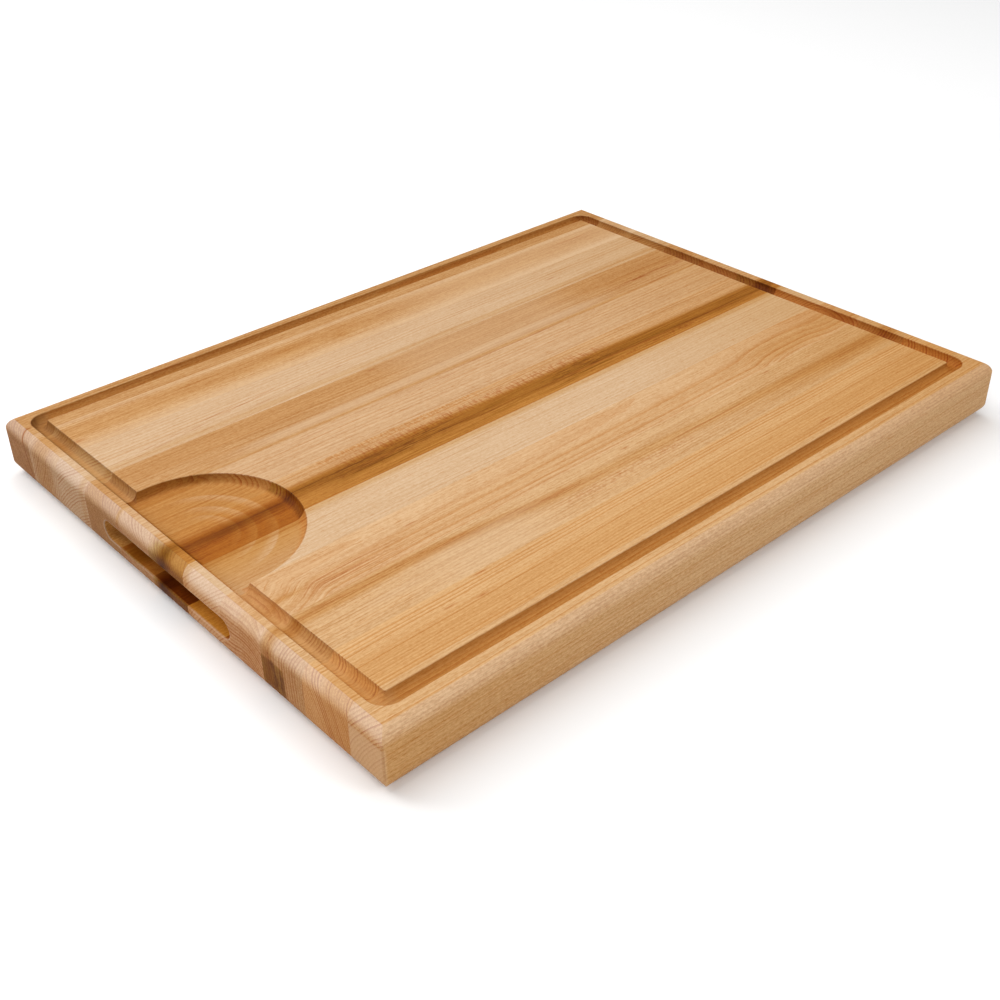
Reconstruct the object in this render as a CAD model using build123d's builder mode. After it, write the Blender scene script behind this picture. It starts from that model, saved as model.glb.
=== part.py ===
from build123d import *
import math
import os

# Carving board of edge-grain hard maple: a blank of staves glued side by side, with a juice groove
# and a half-round well cut into the top, a finger grip routed into each end, and rounded edges.
#
# Frame: origin at the centre of the underside. +X runs along the staves to the plain end, +Y runs
# across them to the far long side and +Z points up. The well is at the -X end. Millimetres.

# Board
length = 508.0
width = 381.0
thickness = 38.1

# Staves, numbered from the far (+Y) side. The two outer ones were trimmed when the blank was sized.
stave_count = 11
stave_width = 36.0
near_stave_width = 25.7
far_stave_width = width - near_stave_width - (stave_count - 2) * stave_width

# Outer edges: one quarter-round cutter all round. The top was surfaced after it was rounded, so
# the arc there is shorter than its radius and meets the top at a crease.
edge_radius = 9.5
top_edge_drop = 8.3
corner_radius = 1.2

# Juice groove: the distance of its centre line from each side, and its round-bottomed section
groove_from_well_end = 14.3
groove_from_plain_end = 16.3
groove_from_near_side = 17.0
groove_from_far_side = 15.6
groove_width = 9.8
groove_depth = 4.7
groove_turn_radius = 6.0

# Well: a half disc that opens into the groove along the -X end, with a coved wall and a flat floor
well_radius = 58.0
well_centre_from_end = 24.9
well_centre_y = 1.4
well_depth = groove_depth
well_cove_radius = 6.35

# Finger grips: one blind slot in the middle of each end
grip_length = 130.6
grip_height = 12.7
grip_depth = 12.7
grip_inner_radius = 4.0
grip_centre_y = 2.5
grip_centre_z = thickness / 2

# Edge breaks left by sanding
rim_break = 0.3
grip_rim_radius = 0.8

# Worked out from the sizes above
groove_radius = (groove_width**2 / 4 + groove_depth**2) / (2 * groove_depth)
groove_rim_half = math.sqrt(groove_radius**2 - (groove_radius - groove_depth + rim_break) ** 2)
cove_rise = well_cove_radius - well_depth
cove_run = math.sqrt(well_cove_radius**2 - cove_rise**2)
cove_rim_run = math.sqrt(well_cove_radius**2 - (cove_rise + rim_break) ** 2)
well_centre_x = well_centre_from_end - length / 2
groove_end_x = groove_from_well_end - length / 2
cutter_lift = 2.0  # how far each cutter stands past the board, so that it cuts cleanly

# Section plane of the well: across the board through the well's centre, its x towards -Y
well_plane = Plane((well_centre_x, well_centre_y, 0), x_dir=(0, -1, 0), z_dir=(-1, 0, 0))


def edge_outline(span):
    """Half outline of the board seen along an edge, mirrored: span is its full width there."""
    arc_centre_x = span / 2 - edge_radius
    crease_angle = math.degrees(math.asin(top_edge_drop / edge_radius))
    with BuildLine() as outline:
        Line((0, 0), (arc_centre_x, 0))
        CenterArc((arc_centre_x, edge_radius), edge_radius, -90, 90)
        Line((span / 2, edge_radius), (span / 2, thickness - top_edge_drop))
        top_arc = CenterArc((arc_centre_x, thickness - top_edge_drop), edge_radius, 0, crease_angle)
        Line(top_arc @ 1, (0, thickness))
        mirror(about=Plane.YZ)
    return outline.line


def well_outline():
    """Half section of the well's cutter: x is the distance from its centre, y is up from the underside."""
    floor = thickness - well_depth
    top = thickness + cutter_lift
    floor_end = well_radius - cove_run
    lip = (floor_end + cove_rim_run, thickness - rim_break)
    rim = (well_radius + rim_break, thickness)
    with BuildLine() as outline:
        Line((0, floor), (floor_end, floor))
        RadiusArc((floor_end, floor), lip, -well_cove_radius)
        Polyline(lip, rim, (rim[0], top), (0, top), (0, floor))
    return outline.line


# The whole blank, carved. It is cut into its staves below.
with BuildPart() as board:
    with BuildSketch(Plane.YZ.offset(-length / 2)):
        add(edge_outline(width))
        make_face()
    extrude(amount=length)
    with BuildSketch(Plane.XZ.offset(-width / 2)):
        add(edge_outline(length))
        make_face()
    extrude(amount=width, mode=Mode.INTERSECT)
    with BuildSketch():
        RectangleRounded(length, width, corner_radius)
    extrude(amount=thickness, mode=Mode.INTERSECT)

    # Juice groove
    near_y = groove_from_near_side - width / 2
    far_y = width / 2 - groove_from_far_side
    plain_x = length / 2 - groove_from_plain_end
    corners = [(groove_end_x, near_y), (plain_x, near_y), (plain_x, far_y), (groove_end_x, far_y)]
    with BuildLine(Plane.XY.offset(thickness)) as groove_path:
        centre_line = FilletPolyline(*corners, radius=groove_turn_radius, close=True)
    heading = centre_line % 0
    across_groove = Vector(0, 0, 1).cross(heading)
    with BuildSketch(Plane(centre_line @ 0, x_dir=across_groove, z_dir=heading)):
        with BuildLine():
            rim = (groove_width / 2 + rim_break, 0)
            lip = (groove_rim_half, -rim_break)
            ThreePointArc((-lip[0], lip[1]), (0, -groove_depth), lip)
            Polyline(lip, rim, (rim[0], cutter_lift))
            Line((rim[0], cutter_lift), (-rim[0], cutter_lift))
            Polyline((-rim[0], cutter_lift), (-rim[0], 0), (-lip[0], lip[1]))
        make_face()
    sweep(path=groove_path.line, mode=Mode.SUBTRACT)

    # Well: half a turn of its section, then the same section drawn out to the groove's centre line
    with BuildSketch(well_plane):
        add(well_outline())
        make_face()
    revolve(axis=Axis(well_plane.origin, (0, 0, 1)), revolution_arc=180, mode=Mode.SUBTRACT)
    with BuildSketch(well_plane):
        add(well_outline())
        make_face()
        mirror(about=Plane.YZ)
    extrude(amount=well_centre_x - groove_end_x, mode=Mode.SUBTRACT)

    # Finger grips, one in each end
    for side in (-1, 1):
        with BuildSketch(Plane.YZ.offset(side * length / 2)):
            with Locations((grip_centre_y, grip_centre_z)):
                SlotOverall(grip_length, grip_height)
        extrude(amount=-side * grip_depth, mode=Mode.SUBTRACT)
        grip_back = (side * (length / 2 - grip_depth), grip_centre_y, grip_centre_z)
        fillet(board.faces().sort_by_distance(grip_back)[0].edges(), grip_inner_radius)
        end_face = board.faces().sort_by(Axis.X)[-1 if side > 0 else 0]
        fillet(end_face.inner_wires()[0].edges(), grip_rim_radius)


def stave_span(number):
    """Low and high Y of a stave, counted from the far side."""
    first_seam = width / 2 - far_stave_width
    high = width / 2 if number == 1 else first_seam - (number - 2) * stave_width
    low = -width / 2 if number == stave_count else first_seam - (number - 1) * stave_width
    return low, high


def stave_name(number):
    """Name of a stave, counted from the far side."""
    place = {1: "_far_edge", stave_count: "_near_edge"}.get(number, "")
    return f"stave_{number:02d}{place}"


os.makedirs("parts", exist_ok=True)
for number in range(1, stave_count + 1):
    low, high = stave_span(number)
    with BuildPart() as stave:
        add(board.part)
        with Locations((0, (low + high) / 2, 0)):
            # centred on the underside, so twice as tall as what it keeps
            Box(length + cutter_lift, high - low, 2 * (thickness + cutter_lift), mode=Mode.INTERSECT)
    stave.part.label = stave_name(number)
    export_step(stave.part, f"parts/{stave_name(number)}.step")
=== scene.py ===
import math

import bpy
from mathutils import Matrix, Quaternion, Vector


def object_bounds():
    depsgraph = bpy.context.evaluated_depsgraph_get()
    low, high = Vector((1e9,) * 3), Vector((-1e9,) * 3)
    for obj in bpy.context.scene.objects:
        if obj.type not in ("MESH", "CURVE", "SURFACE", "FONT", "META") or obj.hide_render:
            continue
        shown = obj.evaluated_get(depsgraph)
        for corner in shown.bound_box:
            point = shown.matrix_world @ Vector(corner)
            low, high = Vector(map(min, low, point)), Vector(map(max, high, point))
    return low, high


# Carving board of eleven edge-glued maple staves. The staves are the CAD's own solids. This script
# gives each one its wood, and adds the floor, the light and the camera. Metres, in the CAD's frame:
# +X along the staves, +Y across them to the far side, +Z up. The patterns of the wood are worked
# out in millimetres from three faces of the board: along (from the well end), across (from the far
# side) and down (from the top).

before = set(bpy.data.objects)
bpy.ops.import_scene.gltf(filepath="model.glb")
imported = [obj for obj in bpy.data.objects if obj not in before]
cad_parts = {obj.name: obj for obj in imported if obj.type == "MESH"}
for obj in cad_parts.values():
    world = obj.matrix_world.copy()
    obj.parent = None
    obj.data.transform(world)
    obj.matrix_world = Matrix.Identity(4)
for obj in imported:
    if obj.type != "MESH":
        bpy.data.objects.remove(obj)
bpy.context.view_layer.update()
cad_low, cad_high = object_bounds()

MM = 1000.0
LENGTH = (cad_high.x - cad_low.x) * MM
WIDTH = (cad_high.y - cad_low.y) * MM
THICKNESS = (cad_high.z - cad_low.z) * MM

# Worked surfaces, the same as in the CAD
CREASE = 4.85  # the rounded edges meet the flat top about this far in from each side
GROOVE_DEPTH = 4.7
WELL_CENTRE = (24.9, WIDTH / 2 - 1.4)
WELL_RADIUS = 58.0
GRIP_DEPTH = 12.7
GRIP_LENGTH = 130.6
GRIP_WIDTH = 12.7
GRIP_CENTRE = WIDTH / 2 - 2.5
CUTTER_RINGS = (21.0, 30.0, 41.5)  # radii of the steps that the cutter left in the well

# Soft limits of the places that are tinted: none at the first value, all at the second
END_RUN = (26.0, 20.0)  # the groove along each end, as a distance from that end
NEAR_RUN = (30.0, 20.0)  # the groove along the near side, as a distance from that side
FAR_WALL = (-30.0, -58.0)  # the far part of the well's wall, across from the well's centre
LIT_WALL = (215.0, 250.0)  # the near part of the well, painted lighter as lit, across
FAR_PART = (170.0, -50.0)  # the far part of the groove along the well's end, across
GRIP_HALF_HEIGHT = (7.4, 6.9)
GRIP_HALF_LENGTH = (68.0, 66.0)
TOP_PAINTED_SHADE = (280.0, 520.0)  # painted shade on the top toward the plain end, where the sheen fades, along
SIDE_PAINTED_SHADE = (260.0, -40.0)  # painted shade on the long sides toward the well's end, along


def srgb(red, green, blue):
    """A colour given as 0 to 255 steps of a display, as linear light."""
    steps = [c / 255 for c in (red, green, blue)]
    light = [c / 12.92 if c < 0.04045 else ((c + 0.055) / 1.055) ** 2.4 for c in steps]
    return (*light, 1.0)


class Value:
    """Something that varies over a surface. Arithmetic on it adds Math nodes to its material."""

    def __init__(self, paint, socket):
        self.paint = paint
        self.socket = socket

    def __add__(self, other):
        return self.paint.math("ADD", self, other)

    def __radd__(self, other):
        return self.paint.math("ADD", other, self)

    def __sub__(self, other):
        return self.paint.math("SUBTRACT", self, other)

    def __rsub__(self, other):
        return self.paint.math("SUBTRACT", other, self)

    def __mul__(self, other):
        return self.paint.math("MULTIPLY", self, other)

    def __rmul__(self, other):
        return self.paint.math("MULTIPLY", other, self)

    def __truediv__(self, other):
        return self.paint.math("DIVIDE", self, other)

    def __abs__(self):
        return self.paint.math("ABSOLUTE", self)


class Paint:
    """A new material, and short calls for the few kinds of shader node that the wood needs."""

    def __init__(self, name):
        self.material = bpy.data.materials.new(name)
        self.material.use_nodes = True
        self.nodes = self.material.node_tree.nodes
        self.links = self.material.node_tree.links
        self.nodes.clear()

    def put(self, socket, value):
        """Link a Value to a socket, or set a plain value on it."""
        if isinstance(value, Value):
            self.links.new(value.socket, socket)
        else:
            socket.default_value = value

    def math(self, operation, first, second=0.0):
        node = self.nodes.new("ShaderNodeMath")
        node.operation = operation
        self.put(node.inputs[0], first)
        self.put(node.inputs[1], second)
        return Value(self, node.outputs[0])

    def ramp(self, value, start, end):
        """0 before start, 1 past end, and a smooth rise between them. start may be above end."""
        node = self.nodes.new("ShaderNodeMapRange")
        node.interpolation_type = "SMOOTHSTEP"
        self.put(node.inputs["Value"], value)
        self.put(node.inputs["From Min"], start)
        self.put(node.inputs["From Max"], end)
        return Value(self, node.outputs["Result"])

    def split(self, socket):
        node = self.nodes.new("ShaderNodeSeparateXYZ")
        self.links.new(socket, node.inputs[0])
        return [Value(self, out) for out in node.outputs]

    def noise(self, place, size, detail=2.0, rough=0.5, seed=0.0):
        """Smooth random values about 0.5, with lumps of the given size along, across and down."""
        joined = self.nodes.new("ShaderNodeCombineXYZ")
        for socket, at, lump in zip(joined.inputs, place, size):
            self.put(socket, at * (1 / lump) + seed)
        node = self.nodes.new("ShaderNodeTexNoise")
        self.links.new(joined.outputs[0], node.inputs["Vector"])
        self.put(node.inputs["Scale"], 1.0)
        self.put(node.inputs["Detail"], detail)
        self.put(node.inputs["Roughness"], rough)
        return Value(self, node.outputs[0])

    def dice(self, value):
        """A fixed random number from 0 to 1 for each whole number."""
        node = self.nodes.new("ShaderNodeTexWhiteNoise")
        node.noise_dimensions = "1D"
        self.put(node.inputs["W"], value)
        return Value(self, node.outputs["Value"])

    def mix(self, share, first, second, blend="MIX"):
        node = self.nodes.new("ShaderNodeMix")
        node.data_type = "RGBA"
        node.blend_type = blend
        self.put(node.inputs["Factor"], share)
        self.put(node.inputs[6], first)
        self.put(node.inputs[7], second)
        return Value(self, node.outputs[2])


# ---------------------------------------------------------------------------------------------
# The wood
# ---------------------------------------------------------------------------------------------

# Every colour here multiplies the wood beneath it, but for CREAM and the painted sheen, which cover
# it
OILED = srgb(230, 230, 230)  # the whole board
BROWN = srgb(214, 160, 104)
OLIVE = srgb(212, 199, 130)
DARK = srgb(166, 124, 56)
GOLD = srgb(238, 219, 178)
HEART = srgb(227, 196, 128)
RING = srgb(232, 200, 152)
CREAM = srgb(236, 206, 170)
# A painted sheen, whitish like a reflection, over the roundings, the slot's rim and a groove
PAINTED_SHEEN = srgb(246, 228, 216)

RECESS_OIL_AND_SHADE = srgb(241, 218, 173)  # the cut grain in the grooves drinks more oil, and the groove is darkened as painted shade
# Painted shade: the groove along the plain end darker than the one along the well's end
PLAIN_END_GROOVE_SHADE = srgb(238, 222, 200)
WELL_TINT = srgb(230, 200, 144)
FAR_SHADE = srgb(214, 200, 168)  # the far side of the well's wall and of the groove beside it
END_TINT = srgb(222, 210, 198)

# How strongly each thing shows: 0 to 1, but for the speckle
SIDE_SPECKLE = 2.6  # the sides and ends are sanded less finely than the top
TOP_SPECKLE = 1.4
PORES = 0.7
END_RINGS = 0.8
# Painted shade on the long sides toward the well's end
SIDE_SHADE_STRENGTH = 0.65
# Painted shade in the groove along the near side
NEAR_RUN_SHADE = 0.4
# Painted sheen on the groove along the well's end and on the roundings, and a painted highlight on
# the slot's rim
GROOVE_SHEEN = 0.17
ROUNDING_SHEEN = 0.14
END_ROUNDING_SHEEN = 0.18  # painted sheen added to it at the ends
RIM_HIGHLIGHT = 0.4
WELL_FADE = 0.4  # how much of the well's tint its steps and its lit wall each lose
END_SHEEN_FADE = 0.85  # how much of the end grain's tints the rounding loses, a painted sheen
OILED_SHEEN_FADE = 0.4  # how much of the oil's tint the rounding of the long sides loses, as a painted sheen

FLECKS = (0.46, 0.58)  # where a fleck begins and is full, in noise about 0.5
BUMP_STRENGTH = 0.3
BUMP_HEIGHT = 0.00012  # metres
GLOSS = 0.05
SEED_STEP = 13.7  # from one stave's noise to the next one's


def mark(line, half, share, colour, **more):
    """A streak or band along a stave: its centre line, half width and strength, then anything of:
    start and end (along), slope and rises of the line, wobble, lean with depth, how soft its
    sides are, the depths that it lies between and the size of the flecks that it breaks into."""
    made = dict(line=line, half=half, share=share, colour=colour, depths=None)
    made.update(start=-60.0, end=LENGTH + 60.0, fade=25.0, slope=0.0, rises=(), wobble=1.5)
    made.update(lean=0.0, soft=1.0, flecks=None)
    made.update(more)
    return made


def spot(along, across, half_length, half_width, share, colour=BROWN):
    """A short soft-ended dash or patch."""
    ends = dict(start=along - half_length, end=along + half_length, fade=half_length)
    return mark(across, half_width, share, colour, wobble=0.4, **ends)


def swept(paint, place, stave, seed):
    """The place with the grain's own bends taken out, so that straight patterns follow them."""
    along, across, down = place
    drift = (paint.noise(place, (230, 60, 60), 2, 0.5, seed) - 0.5) * stave["wander"]
    bent = across + drift + along * stave["slope"]
    for centre, line, half_length, half_width, push in stave["swells"]:
        x = (along - centre) / half_length
        y = (across - line) / half_width
        bent = bent + paint.ramp(x * x + y * y, 1.0, 0.0) * push
    return along, bent, down


def growth_rings(paint, bent, stave, seed):
    """How dark the late wood is: 0 to 1, rising to a crisp line at the end of each year."""
    along, across, down = bent
    ruffle = (paint.noise(bent, (80, 9, 9), 2, 0.5, seed + 7) - 0.5) * stave["ruffle"]
    sideways = across - stave["pith"][0]
    downwards = down + along * stave["tilt"] - stave["pith"][1]
    radius = paint.math("SQRT", sideways * sideways + downwards * downwards) + ruffle
    turn = radius / stave["ring"]
    year = paint.math("FLOOR", turn)
    strength = paint.dice(year + seed)
    phase = turn - year
    return paint.ramp(phase, 0.35, 1.0) * (0.3 + strength * strength * 0.7)


def mark_share(paint, place, bent, made, seed):
    """How strongly one mark shows."""
    along, across, down = place
    line = made["line"]
    for start, end, rise in made["rises"]:
        line = paint.ramp(along, start, end) * rise + line
    wobble = (paint.noise(place, (70, 300, 300), 3, 0.5, seed) - 0.5) * made["wobble"]
    off = abs(across + down * made["lean"] - along * made["slope"] + wobble - line)
    share = paint.ramp(off, made["half"], made["half"] * (1 - made["soft"])) * made["share"]
    if made["start"] > 0:
        share = share * paint.ramp(along, made["start"], made["start"] + made["fade"])
    if made["end"] < LENGTH:
        share = share * paint.ramp(along, made["end"], made["end"] - made["fade"])
    if made["depths"]:
        high, low = made["depths"]
        share = share * paint.ramp(down, high - 1, high + 1) * paint.ramp(down, low + 1, low - 1)
    if made["flecks"]:
        length, width = made["flecks"]
        lumps = paint.noise(bent, (length, width, width * 3), 2, 0.6, seed + 3)
        share = share * paint.ramp(lumps, *FLECKS)
    return share


def worked_places(paint, place, normal):
    """Shares of the surfaces that the cutters left, each 0 to 1."""
    along, across, down = place
    ends = paint.math("MINIMUM", along, LENGTH - along)
    sides = paint.math("MINIMUM", across, WIDTH - across)
    inset = paint.math("MINIMUM", ends, sides)
    inside = paint.ramp(inset, CREASE - 0.1, CREASE + 0.1)
    upper = inside * paint.ramp(down, GROOVE_DEPTH + 1.0, GROOVE_DEPTH + 0.5)
    recess = upper * paint.ramp(down, 0.05, 0.6)
    rounding = (1.0 - inside) * paint.ramp(down, 10.0, 2.5)
    end_grain = paint.ramp(abs(normal[0]), 0.1, 0.55)

    # The well: reach is the distance from its centre. held is the same over its half disc, and over
    # the straight part between that and the groove it is the distance from the middle line.
    x = along - WELL_CENTRE[0]
    y = across - WELL_CENTRE[1]
    reach = paint.math("SQRT", x * x + y * y)
    inward = paint.math("MAXIMUM", x, 0.0)
    held = paint.math("SQRT", inward * inward + y * y)
    in_well = paint.ramp(held, WELL_RADIUS + 0.4, WELL_RADIUS - 0.2)
    wall = paint.ramp(held, WELL_RADIUS - 5.0, WELL_RADIUS - 2.0) * in_well * recess
    groove = recess * (1.0 - in_well)

    # The grips: outline is how far a place lies outside the slot's edge
    off = down - THICKNESS / 2
    aside = abs(across - GRIP_CENTRE)
    gripped = paint.ramp(abs(off), *GRIP_HALF_HEIGHT) * paint.ramp(aside, *GRIP_HALF_LENGTH)
    gripped = gripped * paint.ramp(ends, 0.2, 1.5) * paint.ramp(ends, GRIP_DEPTH + 0.5, GRIP_DEPTH)
    beyond = paint.math("MAXIMUM", aside - (GRIP_LENGTH - GRIP_WIDTH) / 2, 0.0)
    outline = paint.math("SQRT", beyond * beyond + off * off) - GRIP_WIDTH / 2
    rim = paint.ramp(outline, 1.1, 0.6) * paint.ramp(ends, 0.6, 0.3)

    return dict(
        upper=upper, recess=recess, rounding=rounding, end_grain=end_grain,
        in_well=in_well, well_reach=reach, far_wall=wall * paint.ramp(y, *FAR_WALL),
        groove=groove, grip=gripped, rim=rim,
        well_end_run=groove * paint.ramp(along, *END_RUN),
        plain_end_run=groove * paint.ramp(LENGTH - along, *END_RUN),
        near_run=groove * paint.ramp(WIDTH - across, *NEAR_RUN),
    )


def cutter_rings(paint, along, worked):
    """The faint steps that a cutter leaves on the well's floor, one inside the next."""
    reach = worked["well_reach"]
    total = 0.0
    for radius in CUTTER_RINGS:
        step = paint.ramp(reach, radius - 7.0, radius) * paint.ramp(reach, radius + 1.5, radius)
        total = step + total
    return total * worked["in_well"] * worked["recess"] * paint.ramp(along, 26.0, 50.0)


def grain_of(paint, place, stave, seed):
    """The patterns of one stave's grain, and the place with the grain's bends taken out."""
    bent = swept(paint, place, stave, seed)
    pore_noise = paint.noise(bent, (7, 0.5, 0.5), 1, 0.5, seed + 4)
    return dict(
        bent=bent,
        late=growth_rings(paint, bent, stave, seed),
        broad=paint.noise(bent, (130, 12, 12), 3, 0.55, seed + 1),
        fibres=paint.noise(bent, (55, 1.2, 1.2), 3, 0.65, seed + 2),
        pores=paint.ramp(pore_noise, 0.58, 0.78),
        speckle=paint.noise(place, (2.6, 0.9, 0.9), 2, 0.8, seed + 5),
    )


def sawn_colour(paint, grain, worked, stave):
    """The bare wood: from its palest to its deepest, then its late wood and its pores."""
    tone = 0.45 + (grain["broad"] - 0.5) * stave["mottle"] + (grain["fibres"] - 0.5) * stave["fibre"]
    speckling = SIDE_SPECKLE - worked["upper"] * (SIDE_SPECKLE - TOP_SPECKLE)
    tone = tone + (grain["speckle"] - 0.5) * speckling
    colour = paint.mix(paint.ramp(tone, -0.1, 1.1), stave["pale"], stave["deep"])
    colour = paint.mix(grain["late"] * stave["late"], colour, RING, "MULTIPLY")
    colour = paint.mix(grain["late"] * worked["end_grain"] * END_RINGS, colour, BROWN, "MULTIPLY")
    return paint.mix(grain["pores"] * PORES, colour, RING, "MULTIPLY")


def painted_light_colour(paint, colour, along, worked, stave):
    """Painted shade toward the plain end on the top and toward the well's end on the long sides,
    and a painted sheen on the roundings, the groove along the well's end and the slot's rim.
    """
    rounding, end_grain = worked["rounding"], worked["end_grain"]
    flank = (1.0 - worked["upper"]) * (1.0 - rounding)
    # Painted shade toward the well's end on the long sides and toward the plain end on the top
    side_shade = paint.ramp(along, *SIDE_PAINTED_SHADE) * flank * (1.0 - end_grain) * SIDE_SHADE_STRENGTH
    top_shade = paint.ramp(along, *TOP_PAINTED_SHADE) * stave["deepens"] * (1.0 - flank)
    colour = paint.mix(side_shade + top_shade, colour, GOLD, "MULTIPLY")
    # Painted sheen on the groove along the well's end, on the roundings and on the slot's rim
    colour = paint.mix(worked["well_end_run"] * GROOVE_SHEEN, colour, PAINTED_SHEEN)
    edge_sheen = rounding * (ROUNDING_SHEEN + end_grain * END_ROUNDING_SHEEN)
    return paint.mix(edge_sheen + worked["rim"] * RIM_HIGHLIGHT, colour, PAINTED_SHEEN)


def marked_colour(paint, colour, place, bent, stave, seed):
    """The stave's own marks, one over the other."""
    for index, made in enumerate(stave["marks"]):
        share = mark_share(paint, place, bent, made, seed + 20 + index * 5)
        blend = "MIX" if made["colour"] == CREAM else "MULTIPLY"
        colour = paint.mix(share, colour, made["colour"], blend)
    return colour


def finished_colour(paint, colour, across, worked, stave, steps):
    """The tints of the worked surfaces, partly painted shade, and the oil over all of them, less on
    the roundings as a painted sheen.
    """
    rounding, end_grain, recess = worked["rounding"], worked["end_grain"], worked["recess"]
    # The near wall of the well keeps less of the well's tint: painted light
    well_share = 1.0 - steps * WELL_FADE - paint.ramp(across, *LIT_WALL) * WELL_FADE
    # The roundings keep less of the end grain's tints: a painted sheen
    cut_end = end_grain * (1.0 - rounding * END_SHEEN_FADE)
    for share, tint in (
        # the grooves: oil in the cut grain, and painted shade
        (worked["groove"], RECESS_OIL_AND_SHADE),
        # painted shade in the groove along the plain end
        (worked["plain_end_run"], PLAIN_END_GROOVE_SHADE),
        (worked["in_well"] * recess * well_share, WELL_TINT),
        (worked["far_wall"], FAR_SHADE),
        (worked["well_end_run"] * paint.ramp(across, *FAR_PART), FAR_SHADE),
        # The slot's inside: each stave's own colour there, darkened as painted shade
        (worked["grip"], stave["grip"]),
        (cut_end * (1.0 - recess), END_TINT),
        (cut_end, stave["end"]),
        # painted shade in the groove along the near side
        (worked["near_run"] * NEAR_RUN_SHADE, GOLD),
        # the roundings of the long sides keep less of the oil's tint, a painted sheen
        (1.0 - rounding * (1.0 - end_grain) * OILED_SHEEN_FADE, OILED),
    ):
        colour = paint.mix(share, colour, tint, "MULTIPLY")
    return colour


def wood(stave, number):
    """The material of one stave."""
    paint = Paint(f"maple_{number:02d}")
    seed = number * SEED_STEP
    coordinates = paint.nodes.new("ShaderNodeTexCoord")
    x, y, z = paint.split(coordinates.outputs["Object"])
    normal = paint.split(coordinates.outputs["Normal"])
    along, across, down = x * MM + LENGTH / 2, WIDTH / 2 - y * MM, THICKNESS - z * MM
    place = (along, across, down)

    worked = worked_places(paint, place, normal)
    grain = grain_of(paint, place, stave, seed)
    steps = cutter_rings(paint, along, worked)
    colour = sawn_colour(paint, grain, worked, stave)
    colour = painted_light_colour(paint, colour, along, worked, stave)
    colour = marked_colour(paint, colour, place, grain["bent"], stave, seed)
    colour = finished_colour(paint, colour, across, worked, stave, steps)

    raised = (grain["fibres"] - 0.5) * 0.6 + (grain["speckle"] - 0.5) * 0.9 + steps * 0.3
    sunk = grain["pores"] * 0.5 + grain["late"] * 0.25
    bump = paint.nodes.new("ShaderNodeBump")
    paint.put(bump.inputs["Strength"], BUMP_STRENGTH)
    paint.put(bump.inputs["Distance"], BUMP_HEIGHT)
    paint.put(bump.inputs["Height"], raised - sunk)

    roughness = 0.46 + (grain["fibres"] - 0.5) * 0.25 + worked["end_grain"] * 0.1
    shader = paint.nodes.new("ShaderNodeBsdfPrincipled")
    paint.put(shader.inputs["Base Color"], colour)
    paint.put(shader.inputs["Roughness"], roughness)
    paint.put(shader.inputs["Specular IOR Level"], GLOSS)
    paint.links.new(bump.outputs["Normal"], shader.inputs["Normal"])
    output = paint.nodes.new("ShaderNodeOutputMaterial")
    paint.links.new(shader.outputs[0], output.inputs["Surface"])
    return paint.material


def stave(pale, deep, pith, ring, marks=(), **more):
    """One stave: its palest and deepest wood, the place of the tree's heart seen on its end (across
    and down, mm), the width of a year's growth and its marks. Then how the grain wanders, slopes,
    tilts and swells, the strength of its rings, mottling and fibres, the painted shade toward the
    plain end, and the tints of its end grain and of its part of the grips, partly painted shade."""
    made = dict(pale=pale, deep=deep, pith=pith, ring=ring, marks=marks)
    made.update(wander=8.0, slope=0.0, tilt=0.0, ruffle=1.0, swells=())
    made.update(late=0.6, mottle=0.6, fibre=1.3, deepens=0.65)
    made.update(end=srgb(250, 248, 244), grip=srgb(200, 150, 70))
    made.update(more)
    return made


# How the dark heartwood's edge in stave 6 and the golden streak in stave 9 drift across the board:
# from, to and how far toward the near side
HEART_RISES = ((80, 180, -1.0), (150, 290, 3.0), (290, 460, 3.6))
STREAK_RISES = ((80, 230, 9.5), (230, 480, 6.5))

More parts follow.
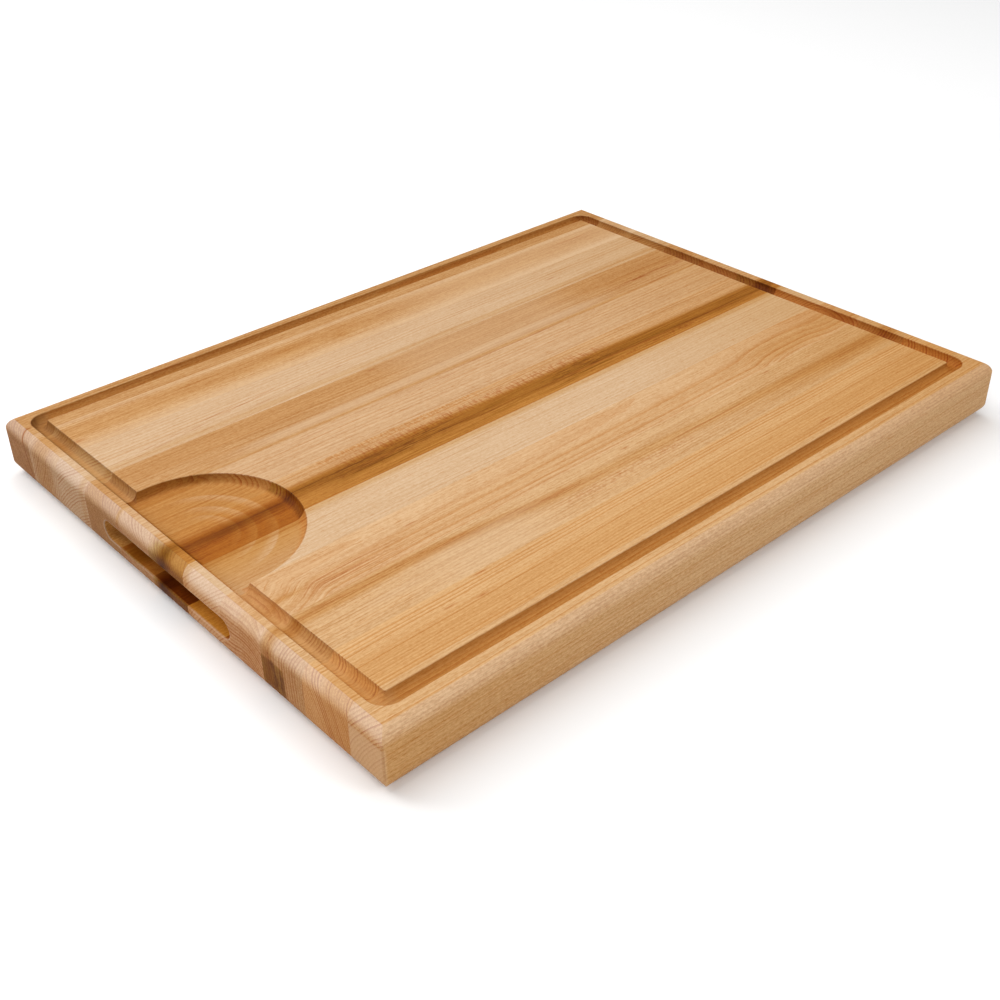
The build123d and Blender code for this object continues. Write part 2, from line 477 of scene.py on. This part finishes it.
STAVES = [
    # 1, the far edge
    stave(
        srgb(216, 170, 116), srgb(180, 122, 62), (-70, 70), 2.2,
        [
            mark(16, 2.0, 0.4, BROWN, start=20, end=140, slope=-0.05, flecks=(30, 1.5)),
            mark(22.5, 1.4, 0.9, BROWN, end=9, fade=3, lean=-0.2, wobble=0.0),
        ],
        deepens=0.3, end=srgb(228, 226, 220),
    ),
    # 2: golden down its middle, pale along both seams
    stave(
        srgb(226, 184, 134), srgb(190, 134, 76), (-60, -40), 2.2,
        [
            mark(33.0, 4.5, 0.2, CREAM, wobble=0.8),
            mark(46, 12, 0.55, GOLD, soft=0.6),
            mark(65.5, 8, 0.3, CREAM, soft=0.9),
            mark(51, 22, 0.2, CREAM, start=220, fade=120, soft=0.3),
            spot(182, 45, 26, 7, 0.6, GOLD),
            spot(222, 52, 12, 9, 0.4, GOLD),
            spot(22, 57.5, 6, 2.4, 0.6),
            mark(43, 2.4, 0.4, BROWN, start=425, end=488, flecks=(30, 1.5)),
        ],
        late=0.4, deepens=0.1, end=srgb(238, 245, 255),
    ),
    # 3: pale, with thin lines that slant across it near the well's end
    stave(
        srgb(228, 196, 160), srgb(206, 163, 118), (190, 160), 1.8,
        [
            mark(103, 1.2, 0.6, BROWN, start=14, end=160, slope=-0.13, flecks=(40, 0.9)),
            mark(99, 1.0, 0.5, BROWN, start=14, end=140, slope=-0.12, flecks=(40, 0.9)),
            mark(106, 1.0, 0.5, BROWN, start=50, end=230, slope=-0.09, flecks=(40, 0.9)),
            mark(79, 2.6, 0.5, GOLD, start=370, end=500, flecks=(30, 1.2)),
            mark(99, 5, 0.5, GOLD, soft=0.9),
            spot(390, 85, 7, 1.2, 0.6),
        ],
        slope=0.02, deepens=0.45, end=srgb(242, 248, 255),
    ),
    # 4: an even brown, pale along its near seam
    stave(
        srgb(218, 172, 120), srgb(184, 128, 70), (-40, 130), 2.3,
        [
            mark(113, 13, 0.35, GOLD, soft=0.6),
            mark(135, 6.5, 0.35, CREAM, start=60, end=420, fade=60, soft=0.8),
            mark(118, 18, 0.18, CREAM, start=190, end=400, fade=60, soft=0.3),
            spot(205, 107, 6, 1.4, 0.6),
            mark(129, 3.0, 0.8, BROWN, start=395, end=505, flecks=(22, 1.2)),
            mark(124, 9, 0.5, GOLD, start=390, fade=40, soft=0.8),
        ],
        deepens=0.25, end=srgb(228, 230, 228), grip=srgb(255, 250, 220),
    ),
    # 5: pale, with two tight lines along its far seam
    stave(
        srgb(228, 190, 148), srgb(200, 152, 104), (60, 150), 1.9,
        [
            mark(141, 3.0, 0.8, GOLD, wobble=2.0),
            mark(143, 1.2, 0.6, BROWN, start=150, end=350, flecks=(60, 1.2)),
            mark(147.5, 1.0, 0.5, BROWN, start=90, end=260, flecks=(60, 1.2)),
            mark(150, 1.0, 0.5, GOLD, start=230, end=470, flecks=(60, 1.2)),
            mark(141, 2.5, 0.6, BROWN, start=400, end=500, flecks=(20, 1.2)),
            mark(152, 13, 1.0, OLIVE, end=18, fade=3, soft=0.6, depths=(12, 26)),
        ],
        end=srgb(228, 218, 204), grip=srgb(214, 172, 100),
    ),
    # 6: dark heartwood along its near half, and ticks of figure beside it
    stave(
        srgb(228, 184, 134), srgb(196, 144, 90), (120, 60), 2.2,
        [
            mark(178, 5, 0.6, RING, start=95, end=250, flecks=(1.5, 6), soft=0.8),
            mark(187, 7, 0.5, BROWN, start=110, end=350, flecks=(1.5, 6), soft=0.7),
            mark(206, 23, 1.0, HEART, rises=HEART_RISES, lean=0.3, soft=0.3),
            mark(194, 8.5, 0.55, OLIVE, rises=HEART_RISES, lean=0.3, soft=0.7, wobble=2.0),
            mark(193, 4.5, 0.7, OLIVE, end=200, fade=130, lean=0.3, wobble=2.0),
            mark(192.5, 0.9, 0.6, DARK, end=230, fade=60, lean=0.3, flecks=(60, 1.6)),
            mark(197, 2.0, 0.5, OLIVE, start=270, rises=HEART_RISES, wobble=2.0),
            mark(200, 5, 0.9, OLIVE, start=90, end=240, fade=40, flecks=(50, 2.0)),
            mark(195, 8, 0.4, DARK, start=90, end=215, fade=40, soft=0.6, flecks=(9, 1.2)),
            mark(196, 8, 0.4, DARK, start=260, end=360, fade=40, soft=0.6, flecks=(9, 1.2)),
            mark(204, 5, 1.0, OLIVE, start=255, end=345, fade=30, flecks=(40, 2.0)),
            mark(201, 11, 0.7, OLIVE, start=85, fade=40, soft=0.5, flecks=(45, 0.9)),
            mark(198.5, 3.0, 0.5, BROWN, rises=HEART_RISES, lean=0.3, flecks=(50, 1.2)),
            spot(38, 194, 26, 4.0, 0.7, OLIVE),
            mark(206, 3.0, 0.5, BROWN, start=330, end=430, flecks=(2.5, 4)),
            mark(187, 11, 0.8, OLIVE, end=7, fade=5, soft=0.6),
            mark(188, 6, 0.2, DARK, end=7, fade=5, soft=0.8),
            mark(197, 16, 0.6, OLIVE, end=3, fade=3, soft=0.2, depths=(24, 42)),
        ],
        deepens=0.35, end=srgb(204, 198, 154), grip=srgb(166, 122, 64),
    ),
    # 7: the palest
    stave(
        srgb(232, 200, 164), srgb(210, 168, 122), (330, 120), 1.8,
        [mark(213, 5, 0.7, GOLD, soft=0.9)],
        late=0.5, mottle=0.4, end=srgb(255, 242, 226), grip=srgb(255, 218, 124),
    ),
    # 8: rings that fan out from the well's end
    stave(
        srgb(235, 196, 151), srgb(206, 155, 102), (254, 36), 2.3,
        [
            spot(113, 262, 6, 0.9, 0.7),
            mark(272, 11, 0.3, GOLD, soft=0.5),
            spot(26, 269.5, 18, 3.5, 0.8, GOLD),
            mark(268, 14, 0.5, GOLD, start=380, fade=40, soft=0.5),
            mark(272, 14, 0.7, BROWN, start=16, end=110, fade=40, flecks=(90, 1.0)),
        ],
        late=1.0, mottle=0.4, ruffle=0.7, deepens=0.5, tilt=-0.01, end=srgb(246, 236, 228),
        swells=((0, 278, 48, 32, -13), (310, 254, 26, 14, 3), (430, 268, 45, 26, 5)),
    ),
    # 9: a golden streak, and a dark patch on its end
    stave(
        srgb(232, 192, 144), srgb(200, 150, 96), (380, 20), 2.2,
        [
            mark(289, 7, 0.6, GOLD, rises=STREAK_RISES, wobble=3.0, soft=0.8),
            mark(289, 7, 0.5, GOLD, end=230, fade=80, rises=STREAK_RISES, wobble=3.0, soft=0.8),
            mark(289.5, 1.6, 0.5, BROWN, rises=STREAK_RISES, flecks=(40, 1.2), wobble=3.0),
            mark(287.5, 3.5, 0.5, BROWN, start=14, end=230, rises=STREAK_RISES, flecks=(30, 1.0)),
            mark(306, 12, 0.6, GOLD, start=300, fade=150, soft=0.6),
            mark(305, 17, 0.25, CREAM, start=60, end=200, fade=60, soft=0.4),
            mark(306, 6, 0.3, BROWN, start=175, end=310, flecks=(3, 3)),
            spot(70, 304, 35, 5, 0.2, CREAM),
            spot(255, 288, 6, 1.1, 0.6),
            spot(390, 286, 6, 1.2, 0.6),
            mark(292, 12, 1.0, OLIVE, end=3, fade=3, soft=0.3, depths=(13, 36)),
            mark(297, 8, 0.6, DARK, end=3, fade=3, soft=0.5, depths=(12, 38), flecks=(20, 6)),
            mark(292, 11, 0.25, DARK, end=3, fade=3, soft=0.3, depths=(14, 35)),
        ],
        end=srgb(240, 234, 224),
    ),
    # 10: a few short dashes
    stave(
        srgb(235, 191, 137), srgb(206, 152, 93), (240, 60), 1.9,
        [
            mark(348, 19, 0.4, GOLD, soft=0.6),
            spot(112, 321, 8, 1.0, 0.8),
            spot(82, 332, 7, 1.0, 0.7),
            spot(100, 336, 6, 1.0, 0.7),
            spot(368, 349, 10, 1.0, 0.8),
        ],
        late=0.9, mottle=0.4, deepens=0.5, end=srgb(255, 250, 240),
    ),
    # 11, the near edge
    stave(
        srgb(232, 190, 140), srgb(204, 154, 98), (440, 70), 1.9,
        [mark(368, 16, 0.5, CREAM, end=3, fade=3, soft=0.3, depths=(10, 44))],
        late=0.8, mottle=0.4, end=srgb(255, 252, 246),
    ),
]

for number, wants in enumerate(STAVES, start=1):
    edge = {1: "_far_edge", len(STAVES): "_near_edge"}.get(number, "")
    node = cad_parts[f"stave_{number:02d}{edge}"]
    node.material_slots[0].material = wood(wants, number)

# ---------------------------------------------------------------------------------------------
# Floor, light and camera
# ---------------------------------------------------------------------------------------------

FLOOR_SIZE = 2.8
FLOOR_GAP = 0.0002  # keeps the floor from showing through the underside
AMBIENT = 0.25

# The photograph's camera, from a fit to the board's outline, its groove and its well
CAMERA_PLACE = (-0.49800, -0.545395, 0.449659)
CAMERA_TARGET = (-0.08996, -0.08788, 0.0381)
CAMERA_ROLL = -0.8235  # degrees
CAMERA_LENS = 47.587


def floor():
    """A plain pale floor under the board."""
    bpy.ops.mesh.primitive_plane_add(size=FLOOR_SIZE, location=(0, 0, -FLOOR_GAP))
    made = bpy.context.object
    made.name = "floor"
    paint = Paint("floor")
    shader = paint.nodes.new("ShaderNodeBsdfPrincipled")
    paint.put(shader.inputs["Base Color"], (0.92, 0.92, 0.92, 1))
    paint.put(shader.inputs["Roughness"], 0.9)
    paint.put(shader.inputs["Specular IOR Level"], 0.1)
    output = paint.nodes.new("ShaderNodeOutputMaterial")
    paint.links.new(shader.outputs[0], output.inputs["Surface"])
    made.data.materials.append(paint.material)


def softbox(name, location, target, size, power):
    """A square area light that faces the target."""
    data = bpy.data.lights.new(name, "AREA")
    data.size = size
    data.energy = power
    lamp = bpy.data.objects.new(name, data)
    lamp.location = location
    lamp.rotation_mode = "QUATERNION"
    lamp.rotation_quaternion = (Vector(target) - lamp.location).to_track_quat("-Z", "Y")
    lamp.visible_camera = False
    bpy.context.scene.collection.objects.link(lamp)


def camera(location, target, roll, lens):
    """The camera, turned to face the target and then rolled."""
    data = bpy.data.cameras.new("camera")
    data.lens = lens
    made = bpy.data.objects.new("camera", data)
    made.location = location
    made.rotation_mode = "QUATERNION"
    facing = (Vector(target) - made.location).to_track_quat("-Z", "Y")
    made.rotation_quaternion = facing @ Quaternion((0, 0, 1), math.radians(roll))
    bpy.context.scene.collection.objects.link(made)
    bpy.context.scene.camera = made


def surroundings(strength):
    """An even pale studio all round: white behind the object, and dimmer as a light on it."""
    world = bpy.data.worlds.new("studio")
    world.use_nodes = True
    nodes, links = world.node_tree.nodes, world.node_tree.links
    background = nodes["Background"]
    background.inputs["Color"].default_value = (1, 1, 1, 1)
    path = nodes.new("ShaderNodeLightPath")
    level = nodes.new("ShaderNodeMath")
    level.operation = "MAXIMUM"
    level.inputs[1].default_value = strength
    links.new(path.outputs["Is Camera Ray"], level.inputs[0])
    links.new(level.outputs[0], background.inputs["Strength"])
    bpy.context.scene.world = world


floor()
surroundings(AMBIENT)
softbox("ceiling", (0.0, 1.1, 2.7), (0.1, 0.2, 0), 3.6, 88)
softbox("back", (-0.85, 1.25, 0.95), (-0.1, 0, 0), 0.9, 10)
softbox("corner", (-1.2, -0.6, 0.55), (-0.25, -0.15, 0), 0.4, 4.6)
softbox("front", (0.6, -1.5, 1.2), (0.1, 0, 0), 0.9, 10)
camera(CAMERA_PLACE, CAMERA_TARGET, CAMERA_ROLL, CAMERA_LENS)
bpy.context.scene.view_settings.view_transform = "Standard"
bpy.context.scene.view_settings.look = "None"

bpy.context.view_layer.update()
